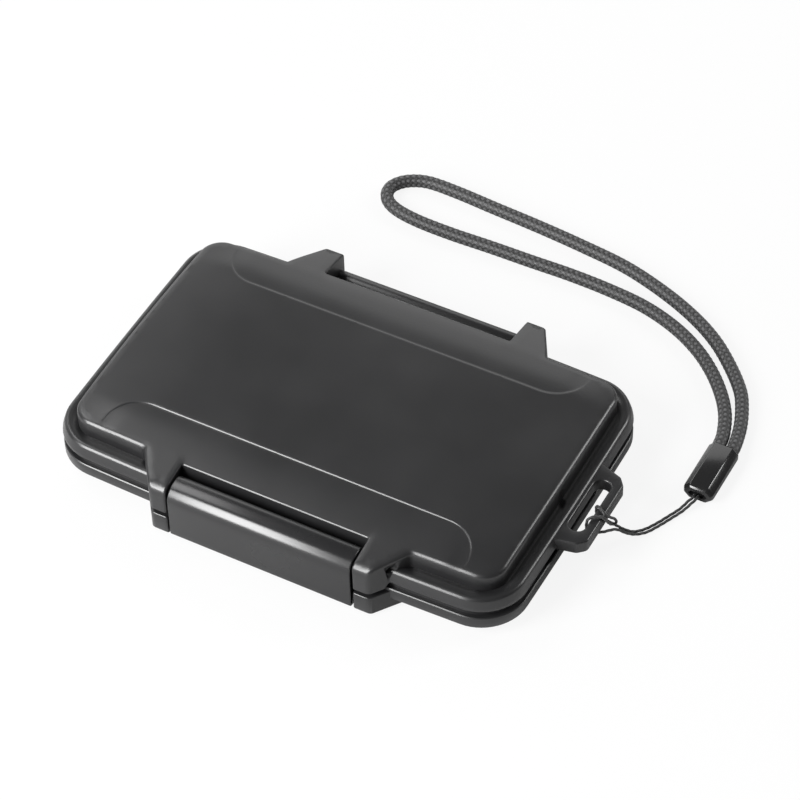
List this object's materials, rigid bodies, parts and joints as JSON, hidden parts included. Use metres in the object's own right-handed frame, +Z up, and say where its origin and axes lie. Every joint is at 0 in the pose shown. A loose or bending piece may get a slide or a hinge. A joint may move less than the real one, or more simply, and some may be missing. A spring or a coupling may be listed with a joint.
{
  "type": "memory card case",
  "caption": "Slim rigid card case with a hinged lid, wide front snap latch, sealed rim, inner card trays and a braided wrist strap.",
  "frame": {"origin": "middle of the flat face that the closed case rests on", "axes": "+X along the hinge towards the strap tab, +Y from the latch to the hinge, +Z up through the lid"},
  "size_m": [0.1572, 0.1435, 0.0198],
  "materials": {
    "shell_plastic": "fine moulded grain",
    "latch_plastic": "satin",
    "pin_steel": "plain",
    "seal_rubber": "smooth",
    "tray_rubber": "soft matte",
    "strap_cord": "braided",
    "ferrule_plastic": "glossy"
  },
  "bodies": {
    "base": {"base_shell": "shell_plastic", "seal_ring": "seal_rubber", "base_tray": "tray_rubber", "ferrule": "ferrule_plastic", "wrist_cord": "strap_cord"},
    "lid": {"lid_shell": "shell_plastic", "hinge_pin": "pin_steel", "latch_pin": "pin_steel", "lid_tray": "tray_rubber", "loop_cord": "strap_cord"},
    "latch": {"latch": "latch_plastic"}
  },
  "joints": [
    {"name": "lid_hinge", "type": "hinge", "parent": "base", "child": "lid", "pos_m": [0, 0.04485, 0.0092], "axis": [-1, 0, 0], "range_deg": [0, 110]},
    {"name": "latch_pivot", "type": "hinge", "parent": "lid", "child": "latch", "pos_m": [0, -0.0413, 0.0145], "axis": [-1, 0, 0], "range_deg": [0, 95]}
  ]
}
